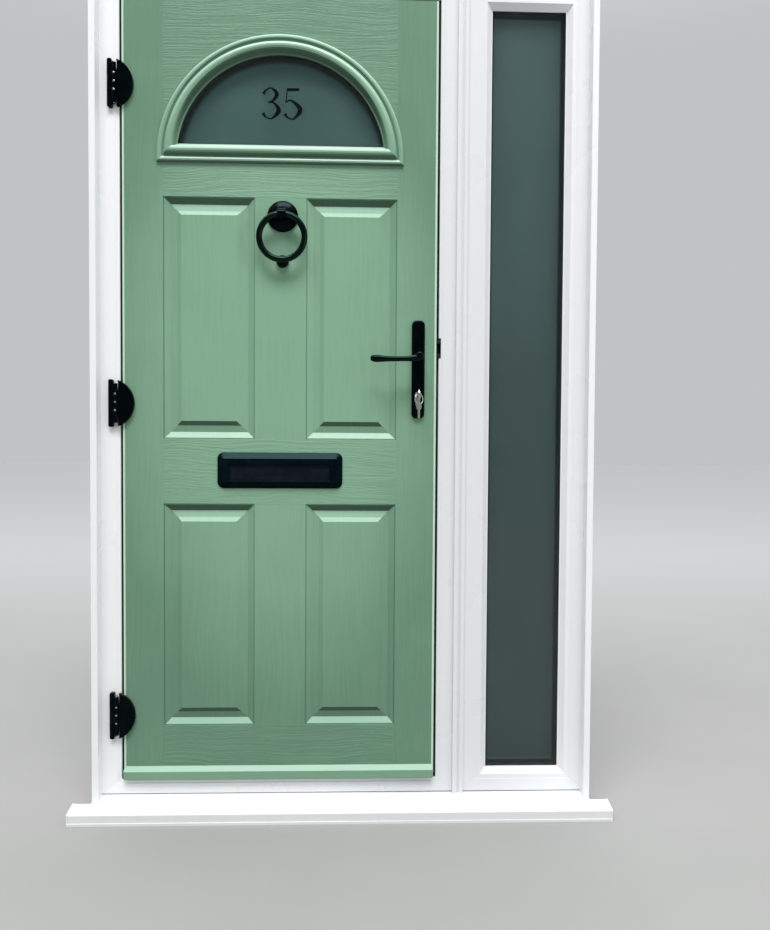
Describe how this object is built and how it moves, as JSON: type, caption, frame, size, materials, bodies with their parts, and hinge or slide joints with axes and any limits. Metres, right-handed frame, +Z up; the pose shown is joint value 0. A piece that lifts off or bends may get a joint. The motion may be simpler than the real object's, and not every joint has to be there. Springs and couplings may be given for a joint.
{
  "type": "front door",
  "caption": "Front door with raised panels, half-round fanlight, letter plate, ring knocker and lever lock, in its frame with a sill and a glazed side panel.",
  "frame": {"origin": "middle of the whole width, on the sill's underside, in the plane of the frame's outdoor face", "axes": "+Z up, -Y outdoors, +X towards the glazed side panel"},
  "size_m": [1.3106, 0.1811, 2.045],
  "materials": {
    "white_profile": "satin",
    "white_cap": "satin",
    "green_leaf": "woodgrain satin",
    "black_metal": "satin",
    "letter_metal": "satin",
    "dark_keep": "satin",
    "clear_glass": "polished",
    "grey_glass": "frosted",
    "black_rubber": "matt",
    "lock_steel": "satin",
    "spacer_metal": "satin",
    "packer_plastic": "matt",
    "sleeve_plastic": "matt",
    "cylinder_metal": "satin",
    "key_metal": "satin"
  },
  "bodies": {
    "mounting": {"door_frame": "white_profile", "sidelight_frame": "white_profile", "frame_coupler": "white_profile", "sill": "white_profile", "sill_end_caps": "white_cap", "cover_trim_left": "white_profile", "cover_trim_right": "white_profile", "stop_gasket": "black_rubber", "rebate_gasket": "black_rubber", "latch_keep": "dark_keep", "deadbolt_keep": "lock_steel", "sidelight_outer_pane": "clear_glass", "sidelight_inner_pane": "grey_glass", "sidelight_spacer": "spacer_metal", "sidelight_gaskets": "black_rubber", "sidelight_setting_blocks": "packer_plastic", "glazing_bead_bottom": "white_profile", "glazing_bead_right": "white_profile", "glazing_bead_top": "white_profile", "glazing_bead_left": "white_profile", "hinge_frame_half_top": "black_metal", "hinge_frame_half_middle": "black_metal", "hinge_frame_half_bottom": "black_metal", "hinge_pins": "lock_steel"},
    "leaf": {"door_slab": "green_leaf", "weather_bar": "green_leaf", "fanlight_outer_frame": "green_leaf", "fanlight_inner_frame": "green_leaf", "fanlight_outer_pane": "clear_glass", "fanlight_inner_pane": "grey_glass", "fanlight_spacer": "spacer_metal", "fanlight_gaskets": "black_rubber", "letter_plate_outer": "letter_metal", "letter_plate_inner": "letter_metal", "letter_sleeve": "sleeve_plastic", "knocker_rose": "black_metal", "knocker_striker": "black_metal", "backplate_outer": "black_metal", "backplate_inner": "black_metal", "handle_bolts": "lock_steel", "lock_case": "lock_steel", "cylinder_body": "cylinder_metal", "hinge_leaf_half_top": "black_metal", "hinge_leaf_half_middle": "black_metal", "hinge_leaf_half_bottom": "black_metal"},
    "lever": {"lever_outer": "black_metal", "lever_inner": "black_metal", "spindle": "lock_steel", "lock_follower": "lock_steel"},
    "latch": {"latch_bolt": "lock_steel"},
    "key_set": {"cylinder_plug": "cylinder_metal", "key": "key_metal", "thumbturn": "cylinder_metal"},
    "deadlock": {"deadbolt": "lock_steel"},
    "hanging_keys": {"keyring": "key_metal", "spare_key": "key_metal"},
    "flap_outside": {"letter_flap_outer": "letter_metal"},
    "flap_inside": {"letter_flap_inner": "letter_metal"},
    "knocker": {"knocker_ring": "black_metal"}
  },
  "joints": [
    {"name": "leaf_swing", "type": "hinge", "parent": "mounting", "child": "leaf", "pos_m": [-0.55675, -0.009, 1.035], "axis": [0, 0, -1], "range_deg": [0, 95]},
    {"name": "lever_turn", "type": "hinge", "parent": "leaf", "child": "lever", "pos_m": [0.17925, 0.02, 1.124], "axis": [0, -1, 0], "range_deg": [0, 42], "stiffness_Nm_per_rad": 2, "springref_deg": -17.19},
    {"name": "latch_slide", "type": "slide", "parent": "leaf", "child": "latch", "axis": [-1, 0, 0], "range_m": [0, 0.0105]},
    {"name": "key_turn", "type": "hinge", "parent": "leaf", "child": "key_set", "pos_m": [0.17925, -0.014, 1.032], "axis": [0, -1, 0], "range_deg": [0, 360]},
    {"name": "deadbolt_slide", "type": "slide", "parent": "leaf", "child": "deadlock", "axis": [1, 0, 0], "range_m": [0, 0.02]},
    {"name": "keyring_swing", "type": "hinge", "parent": "key_set", "child": "hanging_keys", "pos_m": [0.17925, -0.039, 1.0345], "axis": [0.766, 0.6428, 0], "range_deg": [-60, 15]},
    {"name": "outer_flap_swing", "type": "hinge", "parent": "leaf", "child": "flap_outside", "pos_m": [-0.15875, -0.0065, 0.8576], "axis": [1, 0, 0], "range_deg": [0, 75], "stiffness_Nm_per_rad": 0.03, "springref_deg": -11.46},
    {"name": "inner_flap_swing", "type": "hinge", "parent": "leaf", "child": "flap_inside", "pos_m": [-0.15875, 0.0518, 0.8676], "axis": [1, 0, 0], "range_deg": [0, 90]},
    {"name": "knocker_swing", "type": "hinge", "parent": "leaf", "child": "knocker", "pos_m": [-0.15345, -0.028, 1.464], "axis": [-1, 0, 0], "range_deg": [0, 90]}
  ],
  "couplings": [
    {"joint": "latch_slide", "follows": "lever_turn", "m_per_rad": 0.014323},
    {"joint": "key_turn", "follows": "deadbolt_slide", "rad_per_m": 314.13}
  ]
}
